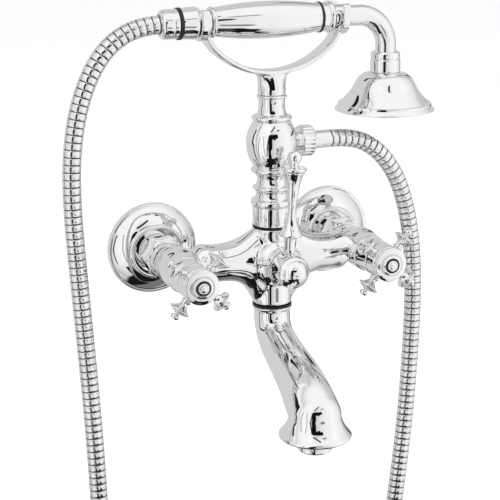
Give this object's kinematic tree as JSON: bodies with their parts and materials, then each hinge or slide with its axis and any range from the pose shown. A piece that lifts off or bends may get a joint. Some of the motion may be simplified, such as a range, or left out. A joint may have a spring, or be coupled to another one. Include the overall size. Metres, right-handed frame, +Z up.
{
  "type": "bath mixer",
  "caption": "Wall-mounted bath mixer with cross handles, a lever diverter, a curved swivel spout and a cradle that holds a telephone hand shower on a ribbed hose",
  "frame": {"origin": "On the wall plane, midway between the axes of the two threaded wall tails", "axes": "+Z up, +X to the right as seen from the room, +Y into the wall; the mixer stands off the wall toward -Y"},
  "size_m": [0.2917, 0.188, 0.6866],
  "materials": {
    "chrome": "polished chrome plate",
    "hose_metal": "polished interlocked metal hose",
    "bare_brass": "machined brass",
    "steel": "stainless steel",
    "black_rubber": "smooth black rubber",
    "white_plastic": "moulded plastic"
  },
  "bodies": {
    "fixed_body": {"mixer_body": "chrome", "diverter_cartridge": "bare_brass", "diverter_shroud": "chrome", "column_seal": "black_rubber", "column_sleeve": "chrome", "riser_column": "chrome", "cradle_stem": "chrome", "cradle_yoke": "chrome", "hose_outlet": "chrome", "hose_washer_lower": "black_rubber", "hose_nut_lower": "chrome", "hose_ferrule_lower": "chrome", "hose": "hose_metal", "spout_nipple": "bare_brass", "spout_oring": "black_rubber", "spout_seal": "black_rubber", "wall_union_left": "chrome", "wall_rose_left": "chrome", "union_nut_left": "chrome", "inlet_washer_left": "black_rubber", "headwork_left": "bare_brass", "shroud_left": "chrome", "wall_union_right": "chrome", "wall_rose_right": "chrome", "union_nut_right": "chrome", "inlet_washer_right": "black_rubber", "headwork_right": "bare_brass", "shroud_right": "chrome"},
    "hot_handle": {"cross_handle_left": "chrome", "valve_spindle_left": "bare_brass", "handle_screw_left": "steel", "index_button_left": "chrome"},
    "cold_handle": {"cross_handle_right": "chrome", "valve_spindle_right": "bare_brass", "handle_screw_right": "steel", "index_button_right": "chrome"},
    "lever": {"diverter_lever": "chrome", "diverter_hub": "chrome", "diverter_spindle": "bare_brass"},
    "swivel_spout": {"spout": "chrome", "spout_screw": "steel", "aerator_housing": "chrome", "aerator_insert": "white_plastic", "aerator_washer": "black_rubber"},
    "hand_shower": {"handset_grip": "chrome", "handset_tail": "chrome", "grip_seal": "black_rubber", "handset_collar": "chrome", "handset_elbow": "chrome", "elbow_ferrule": "chrome", "shower_bell": "chrome", "spray_plate": "chrome", "hose_nut_upper": "chrome", "hose_seal_upper": "black_rubber"}
  },
  "joints": [
    {"name": "hot_handle_turn", "type": "hinge", "parent": "fixed_body", "child": "hot_handle", "pos_m": [-0.075, -0.11, 0.006], "axis": [0, -1, 0], "range_deg": [0, 90]},
    {"name": "cold_handle_turn", "type": "hinge", "parent": "fixed_body", "child": "cold_handle", "pos_m": [0.075, -0.11, 0.006], "axis": [0, 1, 0], "range_deg": [0, 90]},
    {"name": "diverter_lever_turn", "type": "hinge", "parent": "fixed_body", "child": "lever", "pos_m": [0, -0.11, 0.006], "axis": [0, -1, 0], "range_deg": [-42, 48]},
    {"name": "spout_swivel", "type": "hinge", "parent": "fixed_body", "child": "swivel_spout", "pos_m": [0, -0.067, -0.039], "axis": [0, 0, 1], "range_deg": [-60, 60]},
    {"name": "handset_lift", "type": "slide", "parent": "fixed_body", "child": "hand_shower", "axis": [0, 0, 1], "range_m": [0, 0.05], "deforming": ["hose"]}
  ]
}
